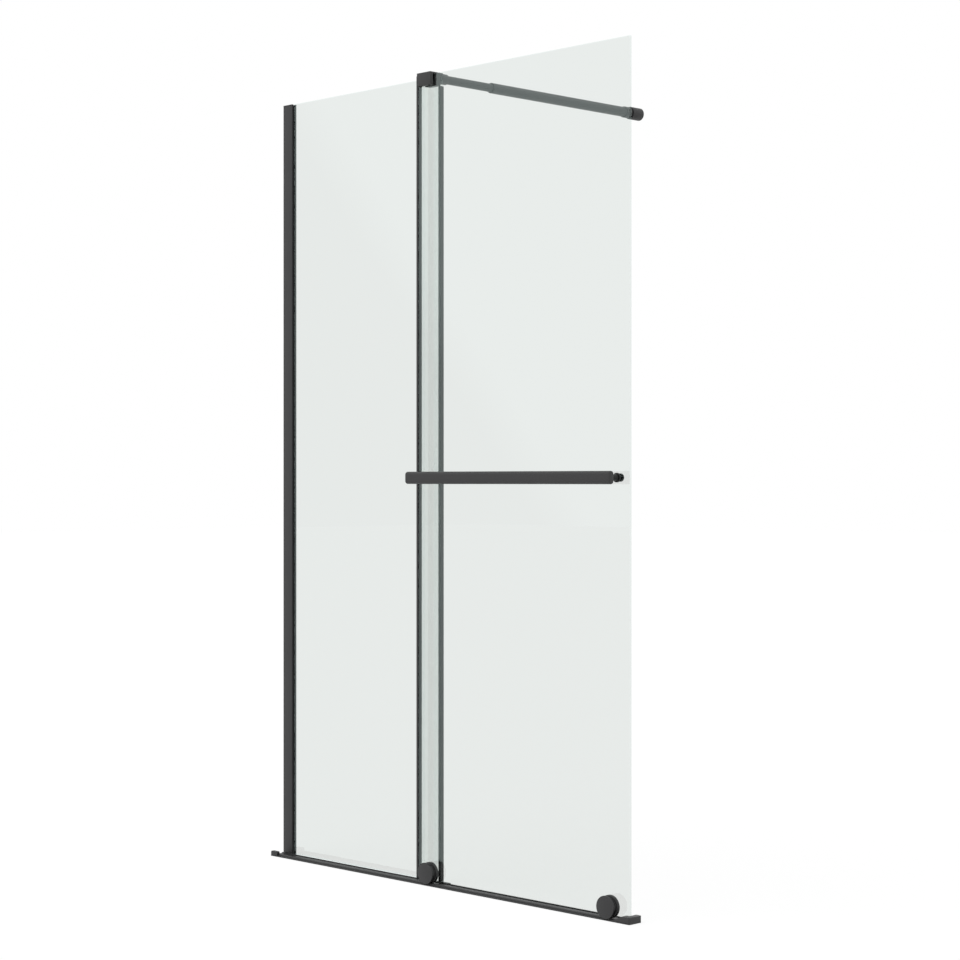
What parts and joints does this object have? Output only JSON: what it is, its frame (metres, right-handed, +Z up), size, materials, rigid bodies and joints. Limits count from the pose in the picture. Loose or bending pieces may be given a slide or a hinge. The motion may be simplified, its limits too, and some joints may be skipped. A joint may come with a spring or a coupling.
{
  "type": "sliding shower door",
  "caption": "Walk-in shower screen in clear glass and matt black metal: a fixed pane, a pane that slides on grooved wheels along a floor rail, a flat handle and a telescopic wall bar.",
  "frame": {"origin": "on the floor at the wall face of the wall profile, in line with the front of the fixed glass", "axes": "+X along the screen away from the wall, +Y into the shower, +Z up"},
  "size_m": [1.2055, 0.7964, 1.912],
  "materials": {
    "black_metal": "matt black powder coat",
    "clear_glass": "clear toughened glass, 6 mm",
    "black_rubber": "matt black rubber",
    "black_plastic": "matt black moulded plastic",
    "clear_seal": "clear soft plastic",
    "nylon": "black moulded nylon",
    "steel": "stainless steel"
  },
  "bodies": {
    "frame": {"wall_profile": "black_metal", "wall_profile_cap": "black_plastic", "glazing_profile": "black_metal", "glazing_screws": "steel", "glazing_gaskets": "black_rubber", "glazing_foot_block": "black_plastic", "fixed_glass": "clear_glass", "fixed_edge_profile": "black_metal", "fixed_profile_tape": "black_rubber", "fixed_seal_fin": "clear_seal", "fixed_floor_gasket": "clear_seal", "post_foot": "black_metal", "floor_rail": "black_metal", "floor_seal": "black_rubber", "rail_wall_cap": "black_metal", "rail_end_stop": "black_metal", "guide_body": "black_metal", "guide_liners": "nylon", "guide_pads": "black_rubber", "guide_grub_screws": "steel", "bar_stud": "steel", "bar_sleeve": "black_metal", "sleeve_grub_screw": "steel", "bar_inner_tube": "black_metal", "bar_inner_bush": "nylon"},
    "sliding_panel": {"sliding_glass": "clear_glass", "sliding_edge_profile": "black_metal", "sliding_profile_plugs": "black_plastic", "sliding_wiper_seal": "clear_seal", "handle_tube": "black_metal", "handle_end_caps": "black_metal", "handle_standoffs": "black_metal", "handle_bolts": "steel", "handle_washers": "clear_seal", "handle_bushes": "nylon", "handle_cap_nuts": "black_metal", "roller_axles": "steel", "roller_washers": "black_rubber", "roller_bushes": "nylon", "roller_cap_nuts": "black_metal", "roller_end_screws": "steel"},
    "roller_left": {"roller_wheel_left": "black_plastic", "roller_bearing_left": "steel", "roller_face_left": "black_metal"},
    "roller_right": {"roller_wheel_right": "black_plastic", "roller_bearing_right": "steel", "roller_face_right": "black_metal"},
    "bar_outer": {"bar_outer_tube": "black_metal", "bar_mouth_bush": "black_metal", "bar_lock_screw": "steel", "wall_flange": "black_metal", "wall_flange_base": "steel", "flange_grub_screw": "steel"}
  },
  "joints": [
    {"name": "panel_slide", "type": "slide", "parent": "frame", "child": "sliding_panel", "axis": [1, 0, 0], "range_m": [-0.481, 0]},
    {"name": "roller_left_spin", "type": "hinge", "parent": "sliding_panel", "child": "roller_left", "pos_m": [0.5702, -0.03625, 0.0286], "axis": [0, 1, 0], "continuous": true},
    {"name": "roller_right_spin", "type": "hinge", "parent": "sliding_panel", "child": "roller_right", "pos_m": [1.1368, -0.03625, 0.0286], "axis": [0, 1, 0], "continuous": true},
    {"name": "bar_extend", "type": "slide", "parent": "frame", "child": "bar_outer", "axis": [0, 1, 0], "range_m": [-0.145, 0.3]}
  ],
  "couplings": [
    {"joint": "roller_left_spin", "follows": "panel_slide", "rad_per_m": 46.948},
    {"joint": "roller_right_spin", "follows": "panel_slide", "rad_per_m": 46.948}
  ]
}
